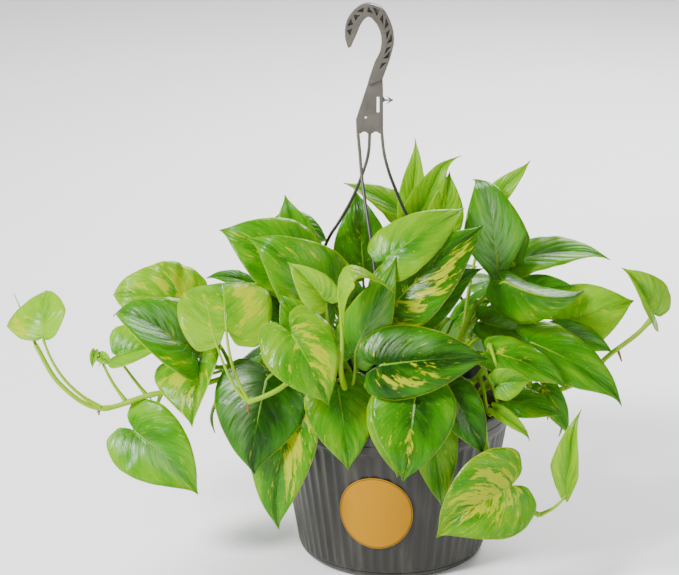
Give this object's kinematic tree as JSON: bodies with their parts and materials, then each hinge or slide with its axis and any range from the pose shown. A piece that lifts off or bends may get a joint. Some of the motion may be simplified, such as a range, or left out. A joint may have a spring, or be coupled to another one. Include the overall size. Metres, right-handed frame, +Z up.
{
  "type": "potted golden pothos",
  "caption": "Golden pothos with heart-shaped, variegated leaves and trailing runners, in a fluted plastic hanging basket with a three-legged hook hanger.",
  "frame": {"origin": "centre of the flat underside of the basket", "axes": "+Z up along the basket's axis, -Y towards the viewer of the reference picture, +X to that viewer's right"},
  "size_m": [0.5811, 0.317, 0.5032],
  "materials": {
    "pot_plastic": "satin grey-brown",
    "hanger_plastic": "satin taupe",
    "label_film": "smooth orange-yellow film",
    "potting_mix": "rough dark brown",
    "foliage": "glossy green with lime, yellow and cream marbling"
  },
  "bodies": {
    "root": {"pot": "pot_plastic", "hanger": "hanger_plastic", "label": "label_film", "soil": "potting_mix", "vine_far_left": "foliage", "vine_left": "foliage", "vine_arching": "foliage", "vine_front_left": "foliage", "vine_upper_left": "foliage", "vine_front": "foliage", "vine_front_right": "foliage", "vine_top": "foliage", "vine_centre": "foliage", "vine_upper_right": "foliage", "vine_right": "foliage", "vine_far_right": "foliage", "vine_lower_right": "foliage", "vine_trailing": "foliage", "vine_back_1": "foliage", "vine_back_2": "foliage", "vine_back_3": "foliage", "vine_back_4": "foliage", "vine_back_5": "foliage"}
  },
  "joints": []
}
